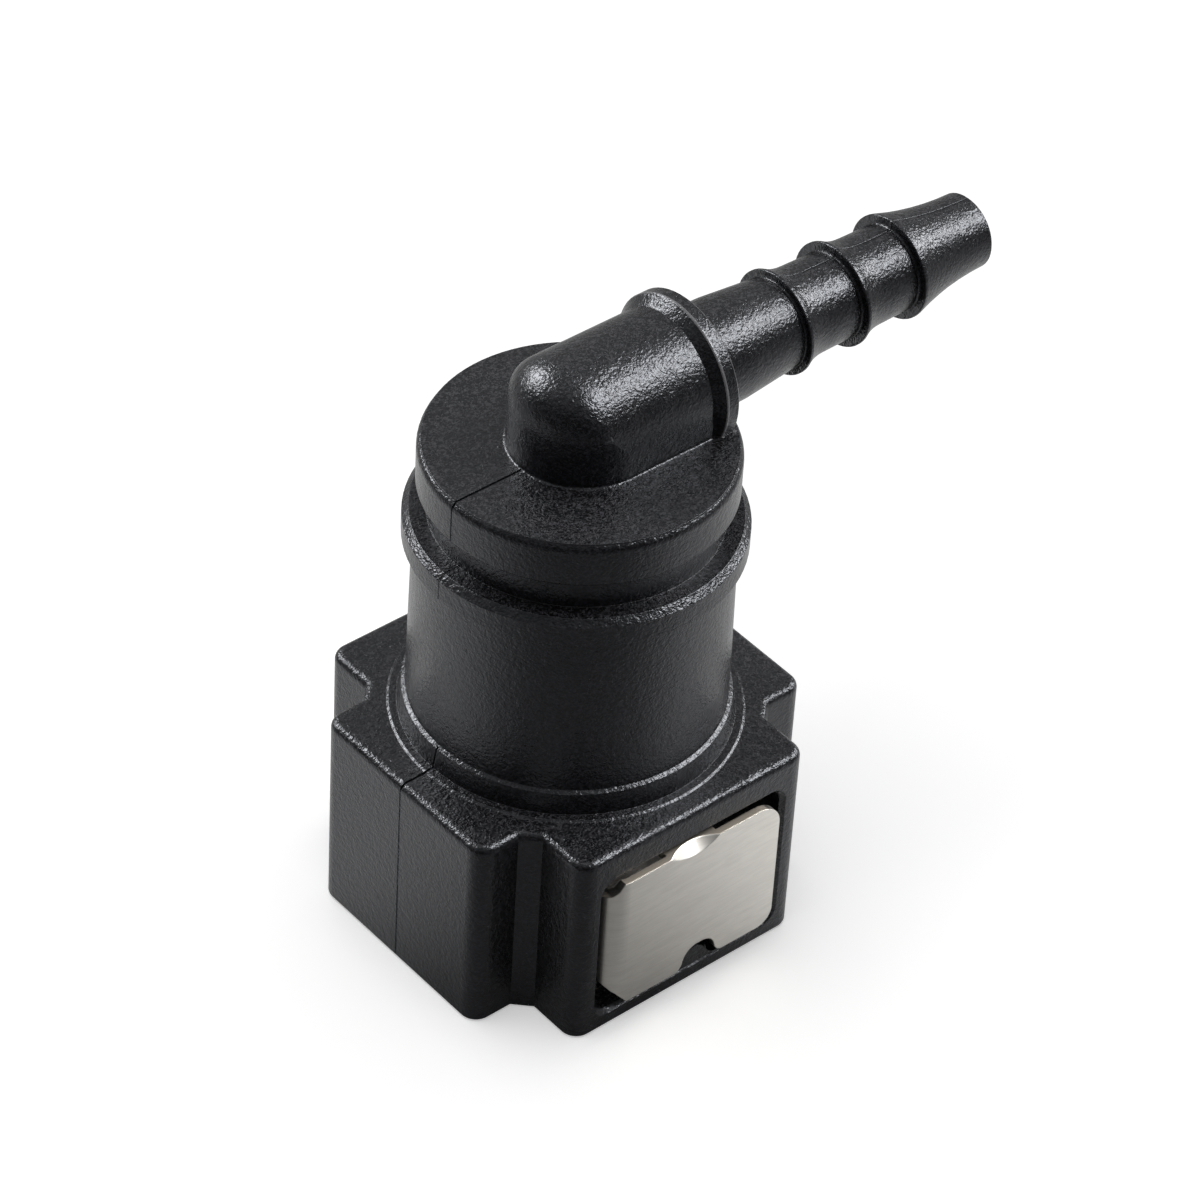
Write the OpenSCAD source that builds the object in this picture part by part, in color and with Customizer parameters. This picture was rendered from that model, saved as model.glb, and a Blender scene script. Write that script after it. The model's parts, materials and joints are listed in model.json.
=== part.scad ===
// Fuel line quick connector: a moulded elbow with a hose barb, and a squeeze to release socket.
// Millimetres, +Z up. The origin is on the pipe's axis at the underside of the base.
// The hose barb points along +X. The two release plates stand in the -Y and +Y faces of the base.

/* [Base] */
// Height of the cross shaped base
base_h = 14.82; // [14.42:0.1:16]
// Half length of the base arms that lie along X
arm_x_len = 13.2; // [12.6:0.1:14]
// Half width of the base arms that lie along X
arm_x_wid = 7.8; // [7.4:0.1:8.6]
// Half length of the base arms that lie along Y
arm_y_len = 12.72; // [12.5:0.1:13.6]
// Half width of the base arms that lie along Y
arm_y_wid = 9.12; // [8.82:0.1:9.62]
// Radius of the base's upright outer corners
base_corner_r = 1.2; // [0.9:0.1:1.6]
// Rounding of the base's top edges
base_top_r = 0.55; // [0.3:0.05:0.7]
// Rounding of the base's bottom edges
base_bottom_r = 0.3; // [0.2:0.05:0.5]
// Leg of the slanted strip that fills each inner corner of the cross
corner_strip = 1.04; // [0.6:0.1:1.4]

/* [Cylinder] */
// Radius of the seal housing under its flange
housing_r = 10; // [9.6:0.1:10.2]
// Height of the flange's underside above the base's underside
flange_z = 28.56; // [28.16:0.1:30]
// Radius of the flange
flange_r = 10.68; // [10.4:0.1:11.4]
// Thickness of the flange
flange_h = 1.96; // [1.4:0.1:2.4]
// Radius of the neck between flange and disc
neck_r = 9.2; // [8.8:0.1:9.6]
// Height of the neck
neck_h = 2.17; // [1.4:0.1:3]
// Radius of the top disc
disc_r = 9.9; // [9.5:0.1:10.6]
// Thickness of the top disc
disc_h = 3.09; // [2.4:0.1:3.6]

/* [Elbow and barb] */
// Outer radius of the elbow
elbow_r = 4.55; // [4.3:0.05:4.8]
// Height of the barb's axis above the top disc
elbow_rise = 1.92; // [1.6:0.1:3]
// Where the elbow's straight run ends and its collar begins, measured from the pipe's axis
collar_x = 6.47; // [6:0.1:9]
// Radius of the collar that stops the hose
collar_r = 5.17; // [5:0.05:5.8]
// Length of the collar from its cone to its flat face
collar_len = 1.63; // [1.3:0.1:2.4]
// Radius of the stem where it leaves the collar
stem_r = 3.48; // [3.3:0.02:3.7]
// Distance from the collar's flat face to the first rib's step
stem_len = 7.2; // [6:0.2:12]
// Crest radius of the barb's ribs
crest_r = 3.5; // [3.4:0.05:3.7]
// Distance from one rib to the next
rib_pitch = 4.74; // [4:0.1:6]
// Number of ribs
rib_count = 3; // [2:1:4]
// Length of the barb's nose past the last rib's crest
nose_len = 6.45; // [4:0.05:7]
// Outer radius of the barb's tip
tip_r = 2.52; // [2.4:0.02:2.7]
// Radius of the bore through the barb
barb_bore_r = 1.7; // [1.4:0.05:1.8]

/* [Pipe and seals] */
// Outer radius of the pipe that the socket takes
pipe_r = 4.745; // [4.6:0.01:4.8]
// Radius of the bead on that pipe
bead_r = 6.5; // [6.3:0.05:6.55]
// Gap round the pipe in the bush and in the pilot bore
pipe_gap = 0.13; // [0.08:0.01:0.2]
// Gap round the bead in the base's floor
bead_gap = 0.3; // [0.2:0.05:0.4]
// Radius of the bore that holds the seals
seal_bore_r = 6.75; // [6.7:0.05:6.9]
// Height of the shoulder that the seals stop at
seal_top_z = 25.5; // [25.2:0.1:26.2]
// Thickness of the seal rings' round section
seal_wire = 2.2; // [2:0.05:2.3]
// Height of the spacer between the two seal rings
spacer_h = 2.4; // [1.8:0.1:2.6]
// How far the pilot bore runs past the seals
pilot_len = 5; // [3:0.25:6]
// Radius of the passage from the pilot bore up to the elbow
passage_r = 3; // [2.2:0.1:3.2]

/* [Release plates] */
// Half width of the chamber that the plates slide in
chamber_w = 7.25; // [7.25:0.05:7.7]
// Height of the chamber's floor
floor_z = 1.3; // [1.2:0.02:1.4]
// Height of the chamber's roof
roof_z = 12.5; // [12.5:0.1:12.8]
// Corner radius of the chamber and its windows
window_r = 1; // [0.8:0.1:1.6]
// Chamfer round each window
window_bevel = 0.3; // [0.15:0.05:0.4]
// Thickness of the plates' sheet
sheet = 0.5; // [0.4:0.05:0.55]
// How far the pads stand proud of the base's face at rest
pad_proud = 0.4; // [0.2:0.05:0.6]
// How far the leg's outer face lies from the pipe's axis
pad_bend_x = 6.95; // [6.85:0.05:6.95]
// How far the pad's free edge lies from the pipe's axis
pad_free_x = 6.78; // [6.4:0.05:6.9]
// Outer radius of the bend between pad and leg
pad_bend_r = 1.5; // [1.1:0.05:1.6]
// Outer radius of the bend between leg and blade
blade_bend_r = 0.95; // [0.8:0.05:1.1]
// Travel of each plate when it is pressed
travel = 1.6; // [1:0.1:1.6]
// Least gap between parts that move past each other
slide_gap = 0.3; // [0.2:0.02:0.32]

/* [Hidden] */
// The smallest overlap used where two solids of one piece join
lap = 0.05;
$fn = 96;

// Heights up the housing
foot_h = 1.53;
foot_top_z = base_h + foot_h;
neck_z = flange_z + flange_h;
disc_z = neck_z + neck_h;
disc_top_z = disc_z + disc_h;
axis_z = disc_top_z + elbow_rise;

// The raised ring and the foot at the bottom of the cylinder
ring_r = housing_r + 1.29;
ring_rise = 0.1;
ring_bevel = 0.14;
foot_r = housing_r + 0.67;
foot_top_r = housing_r + 0.42;
foot_bevel_h = 0.17;
housing_draft = 0.17;
flange_bevel = 0.42;
flange_under_bevel = 0.12;
disc_edge = 0.6;
disc_under_edge = 0.25;

// The rounding of the elbow's outer corner keeps this share of the radius square
heel_share = 0.3;
heel_off = elbow_r * heel_share;
elbow_fillet = 0.18;

// Stations along the barb
collar_land_x = collar_x + 0.65;
collar_end_x = collar_x + collar_len;
collar_edge = 0.15;
stem_fillet = 0.35;
stem_mid_r = stem_r - 0.07;
stem_end_r = stem_r - 0.45;
first_rib_x = collar_end_x + stem_len;
last_rib_x = first_rib_x + (rib_count - 1) * rib_pitch;
crest_land = 0.2;
crest_edge = 0.05;
groove_r = crest_r - 0.54;
groove_draft = 0.05;
groove_len = 2;
rib_fillet = 0.15;
last_crest_x = last_rib_x + crest_land;
tip_x = last_crest_x + nose_len;
tip_edge = 0.15;

// The socket's bores
guide_r = pipe_r + pipe_gap;
bead_hole_r = bead_r + bead_gap;
bead_hole_bevel = 0.6;
seal_bore_bevel = 0.35;
pilot_top_z = seal_top_z + pilot_len;
passage_top_z = axis_z + barb_bore_r;

// The loose rings in the seal bore, from the shoulder down
ring_gap = 0.15;
inner_ring_z = seal_top_z - ring_gap - seal_wire / 2;
spacer_top_z = inner_ring_z - seal_wire / 2 - ring_gap;
spacer_z = spacer_top_z - spacer_h;
outer_ring_z = spacer_z - ring_gap - seal_wire / 2;
bush_top_z = outer_ring_z - seal_wire / 2 - ring_gap;
seal_mid_r = seal_bore_r - ring_gap - seal_wire / 2;

// The bush that closes the seal bore, held by a snap rib
bush_z = roof_z - 1.3;
bush_r = seal_bore_r - ring_gap;
bush_rim_r = bush_r - 0.4;
bush_edge = 0.3;
snap_z = roof_z + 2.1;
snap_h = 0.7;
snap_rise = 0.3;

// The plates, drawn for the -Y side; the other one is the same plate turned half round
pad_front_y = -arm_y_len - pad_proud;
pad_z = floor_z + 0.4;
pad_top_z = roof_z - 0.32;
pad_corner_r = 1.2;
pad_top_corner_r = 1.85;
blade_y = pipe_r + 0.26;
blade_bend_y = blade_y + sheet - blade_bend_r;
blade_gap = slide_gap + 0.1;
blade_end_x = pad_bend_x - sheet - blade_gap;
blade_start_x = -pad_bend_x + blade_bend_r + 0.3;
blade_h = 4.05;
lip_top_z = floor_z + 3.2;
blade_top_z = lip_top_z + blade_h;
lip_z = floor_z + 0.28;
lip_out = 2.2;
leg_z = floor_z + 2.5;
leg_top_z = pad_top_z - 1.2;

// The reliefs that step the pad's height down to the leg's, as far in as the bend begins
low_relief_w = pad_bend_r + 0.25;
low_relief_mid_w = 0.62;
low_relief_mid_h = 1.3;
top_relief_w = pad_bend_r - 0.42;
top_relief_mid_w = 0.8;
top_relief_mid_h = 0.6;
top_relief_low_w = 0.42;
top_relief_low_h = 1.03;

// The notch in the pad's lower edge and the key on the base that it slides over
notch_x = 0.68;
notch_w = 1.33;
notch_top_r = 1.15;
notch_h = 1.7;
notch_flare_r = 0.85;
key_x = notch_x - 0.1;
key_h = notch_h - 0.3;
key_depth = 3;

// The return tongue bent in from the pad's top edge
tongue_x = -2.26;
tongue_w = 4;
tongue_scoop_h = 0.7;
tongue_curl_r = 0.9;
tongue_drop = 1.7;
tongue_tip_z = pad_top_z - tongue_drop;
tongue_end_y = -bush_rim_r - travel - slide_gap;

// A block centred on the Z axis with rounded upright corners and rounded top and bottom edges
module soft_block(half_x, half_y, height, corner, top_r, bottom_r) {
  difference() {
    linear_extrude(height)
      rounded_rect(half_x, half_y, corner);
    translate([0, 0, height])
      edge_cutters(half_x, half_y, corner, top_r);
    mirror([0, 0, 1])
      edge_cutters(half_x, half_y, corner, bottom_r);
  }
}

// What is cut from a block's upper rim, at z = 0, to round it
module edge_cutters(half_x, half_y, corner, edge) {
  for (turn = [0, 180])
    rotate([0, 0, turn]) {
      translate([half_x, 0, 0])
        rotate([90, 0, 0])
          linear_extrude(2 * (half_y - corner), center = true)
            edge_section(edge);
      translate([0, half_y, 0])
        rotate([90, 0, 90])
          linear_extrude(2 * (half_x - corner), center = true)
            edge_section(edge);
    }
  for (x = [0, 1], y = [0, 1])
    mirror([x, 0, 0])
      mirror([0, y, 0])
        translate([half_x - corner, half_y - corner, 0])
          intersection() {
            rotate_extrude()
              translate([corner, 0])
                edge_section(edge);
            translate([0, 0, -edge - 1])
              cube([corner + 1, corner + 1, edge + 2]);
          }
}

// The section of an edge cutter: the square edge lies at the origin, the solid below and left of it
module edge_section(edge) {
  difference() {
    translate([-edge, -edge])
      square([edge + 0.5, edge + 0.5]);
    translate([-edge, -edge])
      circle(r = edge);
  }
}

// A flat rectangle with rounded corners
module rounded_rect(half_x, half_y, corner) {
  square([2 * (half_x - corner), 2 * half_y], center = true);
  square([2 * half_x, 2 * (half_y - corner)], center = true);
  for (x = [-1, 1], y = [-1, 1])
    translate([x * (half_x - corner), y * (half_y - corner)])
      circle(r = corner);
}

// A disc from z = 0 up, with a rounded upper edge and a rounded lower edge
module soft_disc(r, h, top_r, bottom_r) {
  rotate_extrude() {
    translate([0, bottom_r])
      square([r, h - top_r - bottom_r]);
    square([r - bottom_r, h]);
    translate([0, h - top_r])
      square([r - top_r, top_r]);
    intersection() {
      translate([r - top_r, h - top_r])
        circle(r = top_r);
      translate([0, h - top_r])
        square([r, top_r]);
    }
    intersection() {
      translate([r - bottom_r, bottom_r])
        circle(r = bottom_r);
      square([r, bottom_r]);
    }
  }
}

// The cross shaped base, with a slanted strip in each inner corner
module base_block() {
  soft_block(arm_x_len, arm_x_wid, base_h, base_corner_r, base_top_r, base_bottom_r);
  soft_block(arm_y_wid, arm_y_len, base_h, base_corner_r, base_top_r, base_bottom_r);
  for (x = [0, 1], y = [0, 1])
    mirror([x, 0, 0])
      mirror([0, y, 0])
        translate([arm_y_wid, arm_x_wid, 0])
          corner_wedge();
}

// The strip's prism: its sides run inwards halfway between the strip and each arm's face
module corner_wedge() {
  depth = base_top_r + lap;
  lead = corner_strip - depth * tan(22.5);
  difference() {
    linear_extrude(base_h)
      polygon([
        [corner_strip, 0],
        [0, corner_strip],
        [-depth, lead],
        [-depth, -depth],
        [lead, -depth]
      ]);
    translate([corner_strip / 2, corner_strip / 2, base_h])
      strip_cutter(base_top_r);
    translate([corner_strip / 2, corner_strip / 2, 0])
      mirror([0, 0, 1])
        strip_cutter(base_bottom_r);
  }
}

// What is cut from the strip's upper rim to round it
module strip_cutter(edge) {
  rotate([0, 0, 45])
    rotate([90, 0, 0])
      linear_extrude(4 * corner_strip, center = true)
        edge_section(edge);
}

// Everything round the pipe's axis above the base
module housing() {
  rotate_extrude()
    polygon([
      [0, base_h - base_top_r],
      [ring_r, base_h - base_top_r],
      [ring_r, base_h],
      [ring_r - ring_bevel, base_h + ring_rise],
      [foot_r, base_h + ring_rise],
      [foot_top_r, foot_top_z],
      [housing_r + housing_draft, foot_top_z + foot_bevel_h],
      [housing_r, flange_z],
      [flange_r - flange_under_bevel, flange_z],
      [flange_r, flange_z + flange_under_bevel],
      [flange_r, neck_z - flange_bevel],
      [flange_r - flange_bevel, neck_z],
      [neck_r, neck_z],
      [neck_r, disc_z + lap],
      [0, disc_z + lap]
    ]);
  translate([0, 0, disc_z])
    soft_disc(disc_r, disc_h, disc_edge, disc_under_edge);
}

// The elbow: an upright stub and a level run on upright sides, with the outer corner rounded over
module elbow() {
  translate([0, 0, disc_top_z - lap])
    cylinder(r = elbow_r, h = elbow_rise + lap);
  translate([0, 0, axis_z])
    rotate([0, 90, 0])
      cylinder(r = elbow_r, h = collar_x + lap);
  translate([0, -elbow_r, disc_top_z - lap])
    cube([collar_x + lap, 2 * elbow_r, elbow_rise + lap]);
  difference() {
    elbow_heel();
    heel_box();
  }
  intersection() {
    heel_box();
    translate([-heel_off, 0, axis_z + heel_off])
      rotate([90, 0, 0])
        rotate_extrude()
          intersection() {
            translate([-heel_off, 0])
              circle(r = elbow_r);
            translate([0, -elbow_r])
              square([elbow_r, 2 * elbow_r]);
          }
  }
}

// Where the upright stub and the level run would meet in a square corner
module elbow_heel() {
  intersection() {
    translate([0, 0, axis_z])
      cylinder(r = elbow_r, h = elbow_r);
    translate([0, 0, axis_z])
      rotate([0, 90, 0])
        cylinder(r = elbow_r, h = 2 * elbow_r, center = true);
    translate([-elbow_r, -elbow_r, axis_z])
      cube([elbow_r, 2 * elbow_r, elbow_r]);
  }
}

// The space beyond the centre of the heel's rounding
module heel_box() {
  translate([-heel_off - elbow_r, -elbow_r, axis_z + heel_off])
    cube([elbow_r, 2 * elbow_r, elbow_r]);
}

// The fillet where the elbow meets the top disc
module elbow_foot() {
  translate([0, 0, disc_top_z]) {
    rotate_extrude()
      foot_section();
    for (side = [0, 1])
      mirror([0, side, 0])
        rotate([90, 0, 90])
          linear_extrude(collar_x)
            foot_section();
  }
}

// The fillet's section, drawn in to the axis
module foot_section() {
  difference() {
    translate([0, -lap])
      square([elbow_r + elbow_fillet, elbow_fillet + lap]);
    translate([elbow_r + elbow_fillet, elbow_fillet])
      circle(r = elbow_fillet);
  }
}

// The collar, the stem and the ribbed barb, turned about the barb's axis
module barb() {
  translate([0, 0, axis_z])
    rotate([90, 0, 90])
      rotate_extrude()
        barb_profile();
}

// The barb's half section: x is the radius, y is the distance from the pipe's axis
module barb_profile() {
  polygon([
    [0, collar_x - lap],
    [elbow_r, collar_x - lap],
    [elbow_r + 0.05, collar_x],
    [collar_r, collar_land_x],
    [collar_r, collar_end_x - collar_edge],
    [collar_r - collar_edge, collar_end_x],
    [0, collar_end_x]
  ]);
  polygon([
    [0, collar_end_x - lap],
    [stem_r, collar_end_x - lap],
    [stem_mid_r, collar_end_x + stem_len * 0.4],
    [stem_end_r, first_rib_x],
    [stem_end_r, first_rib_x + lap],
    [0, first_rib_x + lap]
  ]);
  root_fillet(stem_r, collar_end_x, stem_fillet, 1);
  root_fillet(stem_end_r, first_rib_x, rib_fillet, -1);
  for (i = [0 : rib_count - 1])
    translate([0, first_rib_x + i * rib_pitch])
      if (i < rib_count - 1)
        rib_profile();
      else
        nose_profile();
}

// A rounded inner corner between a shaft of radius r and a flat face at y; side is +1 past the face
module root_fillet(r, y, fillet, side) {
  difference() {
    translate([r - lap, side > 0 ? y - lap : y - fillet])
      square([fillet + lap, fillet + lap]);
    translate([r + fillet, y + side * fillet])
      circle(r = fillet);
  }
}

// One rib: a square step, a narrow crest and a hollow slope that runs out into the groove
module rib_profile() {
  slope(crest_r, groove_r, groove_len);
  polygon([
    [0, crest_land + groove_len - lap],
    [groove_r, crest_land + groove_len - lap],
    [groove_r - groove_draft, rib_pitch + lap],
    [0, rib_pitch + lap]
  ]);
  root_fillet(groove_r - groove_draft, rib_pitch, rib_fillet, -1);
}

// The last rib, whose slope is the barb's long nose
module nose_profile() {
  difference() {
    slope(crest_r, tip_r, nose_len);
    translate([tip_r, crest_land + nose_len])
      rotate(45)
        square(tip_edge * 1.4, center = true);
  }
}

// A crest from y = 0, then a slope along a circle's arc from radius high to radius low
module slope(high, low, run) {
  drop = high - low;
  arc_r = (run * run + drop * drop) / (2 * drop);
  polygon([
    [0, 0],
    [high - crest_edge, 0],
    [high, crest_edge],
    [high, crest_land],
    [0, crest_land]
  ]);
  difference() {
    translate([0, crest_land - lap])
      square([high, run + lap]);
    translate([low + arc_r, crest_land + run])
      circle(r = arc_r, $fn = 240);
  }
}

// All the space inside the moulding that the pipe, the seals and the fuel take
module passages() {
  translate([0, 0, -1])
    cylinder(r = bead_hole_r, h = floor_z + 2);
  translate([0, 0, -lap])
    cylinder(r1 = bead_hole_r + bead_hole_bevel + lap, r2 = bead_hole_r, h = bead_hole_bevel + lap);
  translate([0, 0, roof_z - 1])
    cylinder(r = seal_bore_r, h = seal_top_z - roof_z + 1);
  translate([0, 0, roof_z - lap])
    cylinder(r1 = seal_bore_r + seal_bore_bevel + lap, r2 = seal_bore_r, h = seal_bore_bevel + lap);
  translate([0, 0, snap_z - ring_gap])
    cylinder(r = bush_r + snap_rise + ring_gap, h = snap_h + 2 * ring_gap);
  translate([0, 0, seal_top_z - 1])
    cylinder(r = guide_r, h = pilot_len + 1);
  translate([0, 0, pilot_top_z])
    cylinder(r1 = guide_r, r2 = passage_r, h = guide_r - passage_r);
  translate([0, 0, pilot_top_z])
    cylinder(r = passage_r, h = passage_top_z - pilot_top_z);
  translate([0, 0, axis_z])
    rotate([0, 90, 0])
      cylinder(r = barb_bore_r, h = tip_x + 1);
}

// The chamber that runs through the base along Y, with a bevel round each window
module chamber() {
  mid_z = (floor_z + roof_z) / 2;
  half_z = (roof_z - floor_z) / 2;
  translate([0, 0, mid_z])
    rotate([90, 0, 0])
      linear_extrude(2 * arm_y_len + 2, center = true)
        rounded_rect(chamber_w, half_z, window_r);
  for (turn = [0, 180])
    rotate([0, 0, turn])
      translate([0, -arm_y_len, mid_z])
        window_edge(half_z);
}

// The bevel's cutter, for a window whose face lies at y = 0 with the chamber towards +Y
module window_edge(half_z) {
  for (turn = [0, 180])
    rotate([0, turn, 0]) {
      translate([chamber_w, 0, 0])
        linear_extrude(2 * (half_z - window_r), center = true)
          bevel_section();
      translate([0, 0, half_z])
        rotate([0, -90, 0])
          linear_extrude(2 * (chamber_w - window_r), center = true)
            bevel_section();
    }
  for (x = [-1, 1], z = [-1, 1])
    translate([x * (chamber_w - window_r), 0, z * (half_z - window_r)])
      rotate([-90, 0, 0])
        rotate_extrude()
          polygon([
            [0, -1],
            [window_r + window_bevel + 1, -1],
            [window_r, window_bevel],
            [0, window_bevel]
          ]);
}

// The bevel's section: x runs outwards from the window's side, y runs into the part
module bevel_section() {
  polygon([
    [-window_r, -1],
    [window_bevel + 1, -1],
    [0, window_bevel],
    [-window_r, window_bevel]
  ]);
}

// The half round key on the chamber's floor that each pad's notch slides over
module keys() {
  for (turn = [0, 180])
    rotate([0, 0, turn])
      translate([key_x, -arm_y_len + key_depth, floor_z])
        rotate([90, 0, 0])
          linear_extrude(key_depth)
            hump(notch_w - slide_gap, notch_top_r - slide_gap / 2, key_h, notch_flare_r + slide_gap / 2);
}

// A hump with a round top and flared feet, standing on y = 0
module hump(half_w, top_r, height, flare) {
  translate([-half_w, -lap])
    square([2 * half_w, height - top_r + lap]);
  translate([-(half_w - top_r), 0])
    square([2 * (half_w - top_r), height]);
  intersection() {
    for (side = [-1, 1])
      translate([side * (half_w - top_r), height - top_r])
        circle(r = top_r);
    translate([-half_w, 0])
      square([2 * half_w, height]);
  }
  for (side = [-1, 1])
    difference() {
      translate([side > 0 ? half_w - lap : -half_w - flare, -lap])
        square([flare + lap, flare + lap]);
      translate([side * (half_w + flare), flare])
        circle(r = flare);
    }
}

module body() {
  color([0.06, 0.06, 0.065]) {
    difference() {
      union() {
        base_block();
        housing();
        elbow();
        elbow_foot();
        barb();
      }
      passages();
      chamber();
    }
    keys();
  }
}

// The sheet's path seen from above: the pad, a bend, the side leg, a bend and the locking blade
module plate_path() {
  translate([-pad_bend_x + pad_bend_r, pad_front_y])
    square([pad_free_x + pad_bend_x - pad_bend_r, sheet]);
  translate([-pad_bend_x + pad_bend_r, pad_front_y + pad_bend_r])
    corner_bend(pad_bend_r);
  translate([-pad_bend_x, pad_front_y + pad_bend_r])
    square([sheet, blade_bend_y - pad_front_y - pad_bend_r]);
  translate([-pad_bend_x + blade_bend_r, blade_bend_y])
    mirror([0, 1])
      corner_bend(blade_bend_r);
  translate([-pad_bend_x + blade_bend_r, blade_y])
    square([blade_end_x + pad_bend_x - blade_bend_r, sheet]);
}

// A quarter turn of the sheet about the origin, in x < 0 and y < 0
module corner_bend(outer) {
  intersection() {
    difference() {
      circle(r = outer);
      circle(r = outer - sheet);
    }
    translate([-outer, -outer])
      square([outer, outer]);
  }
}

// The pad's outline seen from the front, open where the sheet ends by itself
module pad_outline() {
  difference() {
    translate([-pad_bend_x - 1, pad_z])
      square([pad_free_x + pad_bend_x + 2, base_h]);
    translate([pad_free_x, pad_z])
      corner_cut(pad_corner_r);
    translate([pad_free_x, pad_top_z])
      mirror([0, 1])
        corner_cut(pad_top_corner_r);
    translate([notch_x, pad_z - lap])
      hump(notch_w, notch_top_r, notch_h + lap, notch_flare_r);
    low_relief();
    top_relief();
  }
}

// The relief under the pad's bend: a slope, a short shelf and a rise to the leg's lower edge
module low_relief() {
  translate([-pad_bend_x, pad_z])
    polygon([
      [low_relief_w + 0.4, -1],
      [low_relief_w, 0],
      [low_relief_mid_w + 0.2, low_relief_mid_h - 0.18],
      [low_relief_mid_w, low_relief_mid_h],
      [0, leg_z - pad_z],
      [-1, leg_z - pad_z],
      [-1, -1]
    ]);
}

// The relief over the bend: a steep drop that eases into the leg's upper edge
module top_relief() {
  translate([-pad_bend_x, pad_top_z])
    polygon([
      [top_relief_w, 1],
      [top_relief_w, 0],
      [top_relief_mid_w, -top_relief_mid_h],
      [top_relief_low_w, -top_relief_low_h],
      [0, leg_top_z - pad_top_z],
      [-1, leg_top_z - pad_top_z],
      [-1, 1]
    ]);
}

// What is cut from a square corner at the origin, lying in x < 0 and y > 0, to round it
module corner_cut(r) {
  difference() {
    translate([-r, -1])
      square([r + 1, r + 1]);
    translate([-r, r])
      circle(r = r);
  }
}

// The return tongue's section: x is the row's Y and y is its Z
module tongue_section() {
  slant = sheet * tan(22.5);
  polygon([
    [pad_front_y, pad_top_z - tongue_scoop_h - sheet],
    [pad_front_y, pad_top_z],
    [tongue_end_y - tongue_curl_r, pad_top_z],
    [tongue_end_y - tongue_curl_r, pad_top_z - sheet],
    [pad_front_y + tongue_scoop_h + slant, pad_top_z - sheet],
    [pad_front_y + sheet, pad_top_z - tongue_scoop_h - slant],
    [pad_front_y + sheet, pad_top_z - tongue_scoop_h - sheet]
  ]);
  translate([tongue_end_y - tongue_curl_r, pad_top_z - tongue_curl_r])
    rotate(180)
      corner_bend(tongue_curl_r);
  translate([tongue_end_y - sheet, tongue_tip_z])
    square([sheet, pad_top_z - tongue_curl_r - tongue_tip_z]);
}

// The round scoop that the tongue's fold leaves in the pad's upper edge
module tongue_scoop() {
  sag = tongue_scoop_h / sqrt(2);
  scoop_r = (sag * sag + tongue_w * tongue_w / 4) / (2 * sag);
  translate([tongue_x + tongue_w / 2, pad_front_y, pad_top_z - tongue_scoop_h])
    rotate([45, 0, 0])
      translate([0, 0, scoop_r])
        rotate([-90, 0, 0])
          translate([0, 0, -1])
            cylinder(r = scoop_r, h = 1 + tongue_scoop_h * sqrt(2));
}

// One stamped and bent plate, drawn in its place on the -Y side
module release_plate() {
  difference() {
    union() {
      linear_extrude(pad_top_z)
        plate_path();
      translate([tongue_x, 0, 0])
        rotate([90, 0, 90])
          linear_extrude(tongue_w)
            tongue_section();
    }
    pad_offcut();
    leg_offcut();
    blade_offcut();
    tongue_scoop();
  }
  translate([blade_start_x, 0, 0])
    rotate([90, 0, 90])
      linear_extrude(blade_end_x - blade_start_x)
        lip_section();
}

// What is cut from the bent sheet round the pad and its first bend
module pad_offcut() {
  translate([0, pad_front_y + pad_bend_r, 0])
    rotate([90, 0, 0])
      linear_extrude(pad_bend_r + 1)
        difference() {
          translate([-pad_bend_x - 2, -1])
            square([2 * pad_bend_x + 4, base_h]);
          pad_outline();
        }
}

// What is cut from it under and over the side leg
module leg_offcut() {
  translate([-pad_bend_x - 1, pad_front_y + pad_bend_r - lap, 0]) {
    translate([0, 0, -1])
      cube([2, blade_bend_y - pad_front_y, leg_z + 1]);
    translate([0, 0, leg_top_z])
      cube([2, blade_bend_y - pad_front_y, base_h]);
  }
}

// What is cut from it under and over the locking blade
module blade_offcut() {
  translate([-pad_bend_x - 1, blade_bend_y, 0]) {
    translate([0, 0, -1])
      cube([2 * pad_bend_x + 2, 2 * blade_bend_r, lip_top_z + 1]);
    translate([0, 0, blade_top_z])
      cube([2 * pad_bend_x + 2, 2 * blade_bend_r, base_h]);
  }
}

// The lip's section: x is the row's Y and y is its Z
module lip_section() {
  polygon([
    [blade_y, lip_top_z + lap],
    [blade_y + sheet, lip_top_z + lap],
    [blade_y + sheet, lip_top_z],
    [blade_y + lip_out + sheet, lip_z],
    [blade_y + lip_out - 0.15, lip_z],
    [blade_y, lip_top_z - 0.15]
  ]);
}

module front_release_plate() {
  color([0.66, 0.65, 0.63])
    release_plate();
}

module rear_release_plate() {
  color([0.66, 0.65, 0.63])
    rotate([0, 0, 180])
      release_plate();
}

// One seal ring of round section, centred at height z
module seal_ring(z) {
  translate([0, 0, z])
    rotate_extrude()
      translate([seal_mid_r, 0])
        circle(r = seal_wire / 2);
}

module inner_o_ring() {
  color([0.1, 0.1, 0.1])
    seal_ring(inner_ring_z);
}

module outer_o_ring() {
  color([0.12, 0.08, 0.07])
    seal_ring(outer_ring_z);
}

module spacer_ring() {
  color([0.85, 0.84, 0.8])
    translate([0, 0, spacer_z])
      difference() {
        soft_disc(bush_r, spacer_h, bush_edge / 2, bush_edge / 2);
        translate([0, 0, -1])
          cylinder(r = guide_r, h = spacer_h + 2);
      }
}

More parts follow.
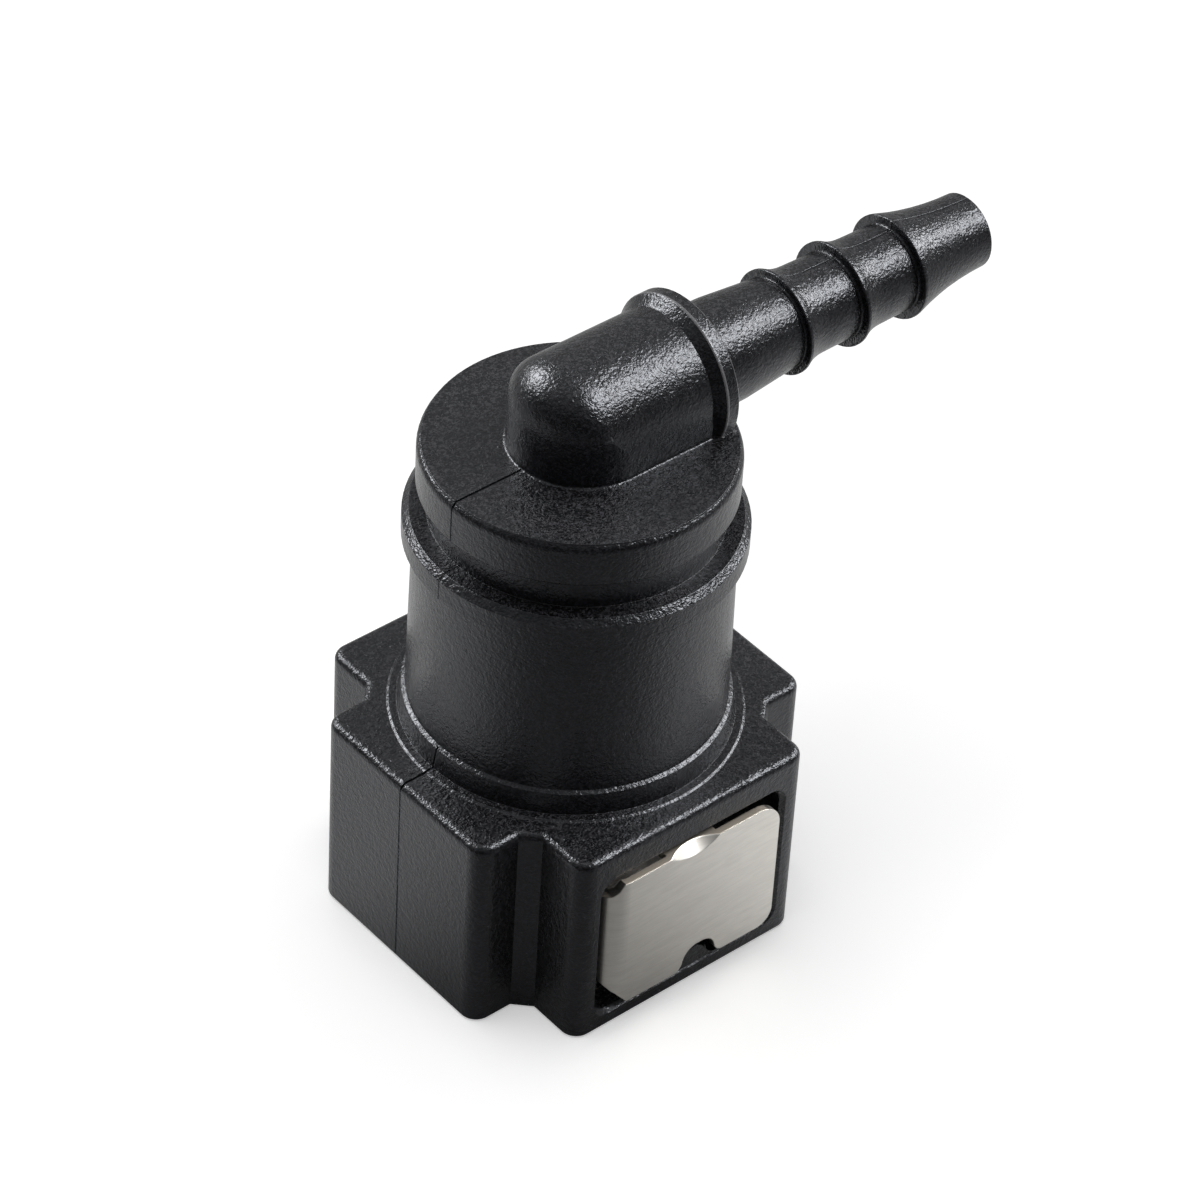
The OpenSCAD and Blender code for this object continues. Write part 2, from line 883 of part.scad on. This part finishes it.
// The bush that guides the pipe and holds the seals in
module seal_bush() {
  color([0.85, 0.84, 0.8])
    difference() {
      union() {
        translate([0, 0, bush_z])
          soft_disc(bush_rim_r, roof_z - bush_z + 1, bush_edge, bush_edge);
        translate([0, 0, roof_z])
          soft_disc(bush_r, bush_top_z - roof_z, bush_edge, bush_edge);
        translate([0, 0, snap_z])
          cylinder(r1 = bush_r + snap_rise, r2 = bush_r, h = snap_h);
      }
      translate([0, 0, bush_z - 1])
        cylinder(r = guide_r, h = bush_top_z - bush_z + 2);
      translate([0, 0, bush_z - lap])
        cylinder(r1 = guide_r + bush_edge + lap, r2 = guide_r, h = bush_edge + lap);
    }
}

body();
front_release_plate();
rear_release_plate();
inner_o_ring();
spacer_ring();
outer_o_ring();
seal_bush();
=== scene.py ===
"""Looks for the fuel line quick connector: camera, light, floor and procedural materials."""

import json
import math

import bpy
from mathutils import Matrix, Vector

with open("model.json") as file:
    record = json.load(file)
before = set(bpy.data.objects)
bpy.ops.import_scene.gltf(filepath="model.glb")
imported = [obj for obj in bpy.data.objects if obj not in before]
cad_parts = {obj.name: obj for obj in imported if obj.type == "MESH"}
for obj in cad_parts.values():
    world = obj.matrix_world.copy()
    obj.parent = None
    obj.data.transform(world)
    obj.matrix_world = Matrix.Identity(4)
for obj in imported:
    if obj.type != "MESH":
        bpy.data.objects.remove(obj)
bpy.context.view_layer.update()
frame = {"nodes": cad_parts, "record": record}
MM = 0.001

# Camera: direction, roll and place were fitted to the photograph's own edges
AZIMUTH = math.radians(-42.121)
ELEVATION = math.radians(40.855)
ROLL = math.radians(3.540)
CAMERA_MM = (-158.999, -178.442, 229.935)
LENS_MM = 153.55
SENSOR_MM = 36.0

# Places on the body for the parting line and the painted edge and collar highlights, in mm
SEAM_HALF_WIDTHS = (0.045, 0.09)
BASE_AND_FOOT_Z = (-1, 16.45)
FOOT_EDGES_Z = (15.9, 17)
FLANGE_Z = (28.5, 30.6)
DISC_Z = (32.65, 35.82)
RIBS_X = (15.2, 32)
STEM_AXIS_Z = 37.7
COLLAR_EDGES_X = ((7.06, 7.24), (7.98, 8.2))
COLLAR_EDGE_R = (5.03, 5.3)

# Colours
BARE_BLACK = (0.0008, 0.0008, 0.001, 1)
FLECK_ON_SIDES = (0.0095, 0.0095, 0.0115, 1)
# Flecks are grain tone; on level tops they are lighter, a painted glint
FLECK_AND_PAINTED_GLINT_ON_TOPS = (0.026, 0.026, 0.029, 1)
# Painted highlight along the body's edges
PAINTED_EDGE_HIGHLIGHT = (0.022, 0.022, 0.024, 1)
# Painted highlight on the collar's two edges
PAINTED_COLLAR_HIGHLIGHT = (0.09, 0.09, 0.094, 1)
SATIN_LOW = (0.86, 0.83, 0.775, 1)
SATIN_HIGH = (0.97, 0.94, 0.88, 1)
CUT_STEEL = (0.40, 0.36, 0.31, 1)

# The floor and the sky: what lights the object, what it mirrors and what the camera sees
CAMERA_SIDE = (-0.588, -0.809, 0)
LIT_FROM = (-0.08, 0.65, 0.75)
MIRRORED_FROM = (0.45, 0.50, 0.74)
FLOOR_GLOW_SEEN = 0.36
FLOOR_GLOW_MIRRORED = 0.05

# Lamps: name, azimuth (0 at -Y, 90 at +X), elevation, distance and size in mm, watts
OBJECT_LAMPS = (
    ("right_high_box", 52, 47, 1000, 420, 8),
    ("right_low_box", 82, 25, 1000, 330, 4.8),
    ("back_left_box", -163, 32, 1000, 460, 9),
)
FLOOR_LAMP = ("floor_box", -163, 80, 2000, 1000, 8)
LAMPS_AIM_Z_MM = 25


def new_camera():
    """The photograph's camera, at the front left and above."""
    away = Vector((
        math.cos(ELEVATION) * math.sin(AZIMUTH),
        -math.cos(ELEVATION) * math.cos(AZIMUTH),
        math.sin(ELEVATION),
    ))
    level_right = (-away).cross(Vector((0, 0, 1))).normalized()
    level_up = level_right.cross(-away)
    right = math.cos(ROLL) * level_right + math.sin(ROLL) * level_up
    up = math.cos(ROLL) * level_up - math.sin(ROLL) * level_right
    data = bpy.data.cameras.new("camera")
    data.sensor_width = SENSOR_MM
    data.lens = LENS_MM
    data.clip_start = 0.01
    data.clip_end = 20
    obj = bpy.data.objects.new("camera", data)
    rows = [(right[i], up[i], away[i], CAMERA_MM[i] * MM) for i in range(3)]
    obj.matrix_world = Matrix(rows + [(0, 0, 0, 1)])
    bpy.context.scene.collection.objects.link(obj)
    bpy.context.scene.camera = obj


class Nodes:
    """A short way to write a material's node tree."""

    def __init__(self, name):
        self.material = bpy.data.materials.new(name)
        self.material.use_nodes = True
        self.tree = self.material.node_tree
        self.tree.nodes.clear()
        self.output = self.tree.nodes.new("ShaderNodeOutputMaterial")
        self.where = self.tree.nodes.new("ShaderNodeTexCoord").outputs["Object"]
        split = self.add("ShaderNodeSeparateXYZ", Vector=self.where)
        self.x, self.y, self.z = split.outputs

    def put(self, socket, value):
        if isinstance(value, bpy.types.NodeSocket):
            self.tree.links.new(value, socket)
        else:
            socket.default_value = value

    def add(self, kind, settings=(), **inputs):
        node = self.tree.nodes.new(kind)
        for key, value in dict(settings).items():
            setattr(node, key, value)
        for key, value in inputs.items():
            self.put(node.inputs[key.replace("_", " ")], value)
        return node

    def math(self, operation, *values):
        node = self.tree.nodes.new("ShaderNodeMath")
        node.operation = operation
        for socket, value in zip(node.inputs, values):
            self.put(socket, value)
        return node.outputs[0]

    def vector(self, operation, first, second=None):
        node = self.tree.nodes.new("ShaderNodeVectorMath")
        node.operation = operation
        self.put(node.inputs[0], first)
        if second is not None:
            self.put(node.inputs[1], second)
        return node.outputs["Value" if operation == "DOT_PRODUCT" else "Vector"]

    def ramp(self, value, low, high, start=0.0, end=1.0):
        """value from low to high becomes start to end, smoothly and held at the ends."""
        node = self.add("ShaderNodeMapRange", {"interpolation_type": "SMOOTHSTEP"})
        names = ("Value", "From Min", "From Max", "To Min", "To Max")
        for name, setting in zip(names, (value, low, high, start, end)):
            self.put(node.inputs[name], setting)
        return node.outputs[0]

    def length(self, vector):
        return self.math("SQRT", self.vector("DOT_PRODUCT", vector, vector))

    def band(self, value, span_mm):
        """1 where value lies between the two lengths of span_mm, else 0."""
        low_mm, high_mm = span_mm
        above = self.math("GREATER_THAN", value, low_mm * MM)
        return self.math("MULTIPLY", above, self.math("LESS_THAN", value, high_mm * MM))

    def noise(
        self, size_mm, detail=2.0, rough=0.5, distortion=0.0, stretch=(1, 1, 1), shift=(0, 0, 0)
    ):
        """Noise with lumps about size_mm across, drawn out by stretch along each axis."""
        scaled = self.add(
            "ShaderNodeMapping",
            Vector=self.where,
            Scale=[1 / (size_mm * MM * s) for s in stretch],
            Location=shift,
        )
        node = self.add(
            "ShaderNodeTexNoise",
            Vector=scaled.outputs[0],
            Scale=1.0,
            Detail=detail,
            Roughness=rough,
            Distortion=distortion,
        )
        return node.outputs[0]

    def cells(self, size_mm, wander):
        """Cells about size_mm across with wandering edges: 1 in the middle, less at the edge."""
        scale = [1 / (size_mm * MM)] * 3
        scaled = self.add("ShaderNodeMapping", Vector=self.where, Scale=scale).outputs[0]
        noise = self.add("ShaderNodeTexNoise", Vector=scaled, Scale=1.1, Detail=1.0)
        moved = self.vector("MULTIPLY", noise.outputs["Color"], (wander, wander, wander))
        moved = self.vector("ADD", scaled, moved)
        node = self.add("ShaderNodeTexVoronoi", Vector=moved, Scale=1.0)
        return self.math("SUBTRACT", 1.0, node.outputs["Distance"])

    def bump(self, height, distance_mm, strength=1.0, normal=None):
        distance = distance_mm * MM
        node = self.add("ShaderNodeBump", Strength=strength, Distance=distance, Height=height)
        if normal is not None:
            self.put(node.inputs["Normal"], normal)
        return node.outputs[0]

    def soft_edges(self, radius_mm):
        return self.add("ShaderNodeBevel", {"samples": 6}, Radius=radius_mm * MM).outputs[0]

    def sharp_edge(self, radius_mm):
        """1 along the piece's edges, where the softened normal leaves the true one, else 0."""
        true = self.add("ShaderNodeNewGeometry").outputs["True Normal"]
        likeness = self.vector("DOT_PRODUCT", self.soft_edges(radius_mm), true)
        return self.ramp(likeness, 0.90, 0.99, 1, 0)

    def normal_z(self, which):
        """How far the Normal or the True Normal points up, from -1 to 1."""
        normal = self.add("ShaderNodeNewGeometry").outputs[which]
        return self.add("ShaderNodeSeparateXYZ", Vector=normal).outputs[2]

    def principled(self, **inputs):
        shader = self.add("ShaderNodeBsdfPrincipled")
        for key, value in inputs.items():
            self.put(shader.inputs[key.replace("_", " ")], value)
        self.put(self.output.inputs["Surface"], shader.outputs[0])
        return self.material


def grey(level):
    return (level, level, level, 1)


def mixed(nodes, factor, low, high):
    """Colour low where factor is 0 and high where it is 1."""
    node = nodes.add("ShaderNodeMix", {"data_type": "RGBA"})
    nodes.put(node.inputs[0], factor)
    nodes.put(node.inputs[6], low)
    nodes.put(node.inputs[7], high)
    return node.outputs[2]


def painted_collar_highlight(n):
    """1 along the collar's two edges, where a highlight is painted, else 0."""
    aside = n.vector("SUBTRACT", n.where, (0, 0, STEM_AXIS_Z * MM))
    from_axis = n.length(n.vector("MULTIPLY", aside, (0, 1, 1)))
    front, back = COLLAR_EDGES_X
    both = n.math("ADD", n.band(n.x, front), n.band(n.x, back))
    return n.math("MULTIPLY", both, n.band(from_axis, COLLAR_EDGE_R))


def parting_line(n):
    """The mould's parting line where y is 0, fainter on the flange and the ribs."""
    near, far = SEAM_HALF_WIDTHS
    line = n.ramp(n.math("ABSOLUTE", n.y), near * MM, far * MM, 1, 0)
    base = n.band(n.z, BASE_AND_FOOT_Z)
    flange = n.math("MULTIPLY", n.band(n.z, FLANGE_Z), 0.5)
    disc = n.band(n.z, DISC_Z)
    ribs = n.math("MULTIPLY", n.band(n.x, RIBS_X), 0.35)
    where = n.math("ADD", n.math("ADD", base, flange), n.math("ADD", disc, ribs))
    return n.math("MULTIPLY", line, where)


def black_nylon():
    """Black glass filled nylon: moulded grain, painted edge and collar highlights, painted glints
    on level tops, parting line.
    """
    n = Nodes("black_nylon")
    flat_top = n.ramp(n.normal_z("Normal"), 0.7, 0.97)

    worms = n.math("MULTIPLY", n.noise(0.36, detail=1, distortion=1.2), 0.5)
    pits = n.noise(0.13, detail=1, distortion=0.8, shift=(4, 1, 8))
    pebbles = n.math("MULTIPLY", n.cells(0.34, 2.2), 0.62)
    rough_skin = n.math("ADD", pebbles, n.math("MULTIPLY_ADD", pits, 0.2, worms))
    grain = n.math("MULTIPLY", rough_skin, n.math("MULTIPLY_ADD", flat_top, 0.2, 0.7))
    seam = parting_line(n)
    height = n.math("SUBTRACT", grain, seam)

    flecks = n.ramp(n.noise(0.21, detail=1, distortion=1.4, shift=(2, 5, 3)), 0.44, 0.66)
    # Flecks are grain tone; on level tops they are lighter, a painted glint
    tone = mixed(n, flecks, BARE_BLACK, mixed(n, flat_top, FLECK_ON_SIDES, FLECK_AND_PAINTED_GLINT_ON_TOPS))
    # Painted highlight along the edges, mostly held off the foot ring's edges
    off_foot = n.math("MULTIPLY_ADD", n.band(n.z, FOOT_EDGES_Z), -0.8, 1.0)
    tone = mixed(n, n.math("MULTIPLY", n.sharp_edge(0.08), off_foot), tone, PAINTED_EDGE_HIGHLIGHT)
    # Painted highlight on the collar's two edges
    tone = mixed(n, painted_collar_highlight(n), tone, PAINTED_COLLAR_HIGHLIGHT)
    patches = n.noise(2.5, distortion=0.5, shift=(3, 7, 1))
    return n.principled(
        Base_Color=mixed(n, seam, tone, grey(0.0)),
        Metallic=seam,
        Roughness=n.math("MULTIPLY_ADD", patches, 0.08, 0.23),
        Specular_IOR_Level=0.65,
        Specular_Tint=(0.91, 0.94, 1.0, 1),
        Normal=n.bump(height, 0.065, 1.0, n.soft_edges(0.06)),
    )


def stainless():
    """Stainless sheet: a satin brushed along the pad's length, and duller where it was cut."""
    n = Nodes("stainless_sheet")
    cut = n.ramp(n.math("ABSOLUTE", n.normal_z("True Normal")), 0.8, 0.95)
    fine = n.noise(0.07, rough=0.6, distortion=0.5, stretch=(22, 22, 1))
    broad = n.noise(0.5, detail=3, rough=0.55, distortion=1.2, stretch=(6, 6, 1), shift=(5, 2, 9))
    lines = n.math("ADD", n.math("MULTIPLY", fine, 0.5), n.math("MULTIPLY", broad, 0.5))
    satin = mixed(n, n.ramp(lines, 0.3, 0.7), SATIN_LOW, SATIN_HIGH)
    brushed = n.math("MULTIPLY_ADD", lines, 0.12, 0.27)
    return n.principled(
        Base_Color=mixed(n, cut, satin, CUT_STEEL),
        Metallic=1.0,
        Roughness=n.math("MAXIMUM", brushed, n.math("MULTIPLY", cut, 0.6)),
        Normal=n.bump(lines, 0.007, 0.6, n.soft_edges(0.12)),
    )


def rubber(name, colour):
    n = Nodes(name)
    return n.principled(
        Base_Color=colour,
        Roughness=0.55,
        Specular_IOR_Level=0.4,
        Normal=n.bump(n.noise(0.2), 0.01, 0.4),
    )


def natural_nylon():
    n = Nodes("natural_nylon")
    return n.principled(
        Base_Color=(0.72, 0.70, 0.62, 1),
        Roughness=0.42,
        Subsurface_Weight=0.08,
        Subsurface_Scale=0.0008,
        Normal=n.bump(n.noise(0.3), 0.008, 0.4, n.soft_edges(0.05)),
    )


def dress():
    looks = {
        "black_nylon": black_nylon(),
        "stainless_sheet": stainless(),
        "seal_rubber": rubber("seal_rubber", grey(0.016)),
        "seal_rubber_outer": rubber("seal_rubber_outer", (0.05, 0.022, 0.018, 1)),
        "natural_nylon": natural_nylon(),
    }
    for part in frame["record"]["subparts"]:
        obj = frame["nodes"][part["node"]]
        obj.data.materials.clear()
        obj.data.materials.append(looks[part["material_slot"]])


def new_floor():
    """A plain white floor that keeps the shadow and mirrors darker far off and by the camera."""
    bpy.ops.mesh.primitive_plane_add(size=8)
    floor = bpy.context.object
    floor.name = "floor"
    n = Nodes("floor")
    path = n.add("ShaderNodeLightPath").outputs
    flat = n.vector("MULTIPLY", n.where, (1, 1, 0))
    camera_side = n.vector("DOT_PRODUCT", n.vector("NORMALIZE", flat), CAMERA_SIDE)
    level = n.ramp(camera_side, 0.2, 1.0, 1.0, 0.25)
    level = n.math("MULTIPLY", level, n.ramp(n.length(flat), 45 * MM, 130 * MM, 1.0, 0.5))
    own = n.math("MULTIPLY", level, FLOOR_GLOW_MIRRORED)
    own = n.math("MULTIPLY", path["Is Glossy Ray"], own)
    mirrored = n.add("ShaderNodeCombineColor", Red=level, Green=level, Blue=level).outputs[0]
    n.principled(
        Base_Color=mixed(n, path["Is Glossy Ray"], grey(0.97), mirrored),
        Roughness=0.9,
        Specular_IOR_Level=0.0,
        Emission_Color=grey(1.0),
        Emission_Strength=n.math("MULTIPLY_ADD", path["Is Camera Ray"], FLOOR_GLOW_SEEN, own),
    )
    floor.data.materials.append(n.material)
    return floor


class Sky(Nodes):
    """The same short way for the world's node tree."""

    def __init__(self):
        world = bpy.data.worlds.new("sky")
        world.use_nodes = True
        bpy.context.scene.world = world
        self.tree = world.node_tree
        self.tree.nodes.clear()
        self.output = self.tree.nodes.new("ShaderNodeOutputWorld")
        self.where = self.tree.nodes.new("ShaderNodeTexCoord").outputs["Generated"]
        self.up = self.add("ShaderNodeSeparateXYZ", Vector=self.where).outputs[2]

    def glow(self, towards, low, high):
        """high round the direction towards, falling to low on the other side."""
        return self.ramp(self.vector("DOT_PRODUCT", self.where, towards), -0.5, 0.9, low, high)

    def either(self, switch, when_one, when_zero):
        """when_one where switch is 1, when_zero where it is 0."""
        kept = self.math("MULTIPLY", when_zero, self.math("SUBTRACT", 1.0, switch))
        return self.math("MULTIPLY_ADD", switch, when_one, kept)


def new_sky():
    """White to the camera; to the object a soft grey that brightens overhead and behind it."""
    sky = Sky()
    path = sky.add("ShaderNodeLightPath").outputs
    lit = sky.glow(LIT_FROM, 0.2, 0.72)
    mirrored = sky.glow(MIRRORED_FROM, 0.05, 0.42)
    mirrored = sky.math("MULTIPLY", mirrored, sky.ramp(sky.up, -0.1, 0.5, 0.3, 1))
    level = sky.either(path["Is Glossy Ray"], mirrored, lit)
    level = sky.either(path["Is Camera Ray"], 1.0, level)
    light = sky.add("ShaderNodeBackground", Color=grey(1.0), Strength=level)
    sky.put(sky.output.inputs["Surface"], light.outputs[0])


def soft_box(floor, link_state, name, azimuth, elevation, away_mm, size_mm, watts):
    """A square lamp; INCLUDE lights the floor alone, EXCLUDE everything but the floor."""
    turn, rise = math.radians(azimuth), math.radians(elevation)
    towards = Vector((
        math.sin(turn) * math.cos(rise),
        -math.cos(turn) * math.cos(rise),
        math.sin(rise),
    ))
    data = bpy.data.lights.new(name, "AREA")
    data.shape = "SQUARE"
    data.size = size_mm * MM
    data.energy = watts
    obj = bpy.data.objects.new(name, data)
    obj.location = Vector((0, 0, LAMPS_AIM_Z_MM * MM)) + towards * away_mm * MM
    obj.rotation_euler = (-towards).to_track_quat("-Z", "Y").to_euler()
    bpy.context.scene.collection.objects.link(obj)
    receivers = bpy.data.collections.new(name + "_floor")
    receivers.objects.link(floor)
    receivers.collection_objects[0].light_linking.link_state = link_state
    obj.light_linking.receiver_collection = receivers


new_camera()
dress()
floor = new_floor()
new_sky()
for lamp in OBJECT_LAMPS:
    soft_box(floor, "EXCLUDE", *lamp)
soft_box(floor, "INCLUDE", *FLOOR_LAMP)

bpy.context.scene.view_settings.view_transform = "Standard"
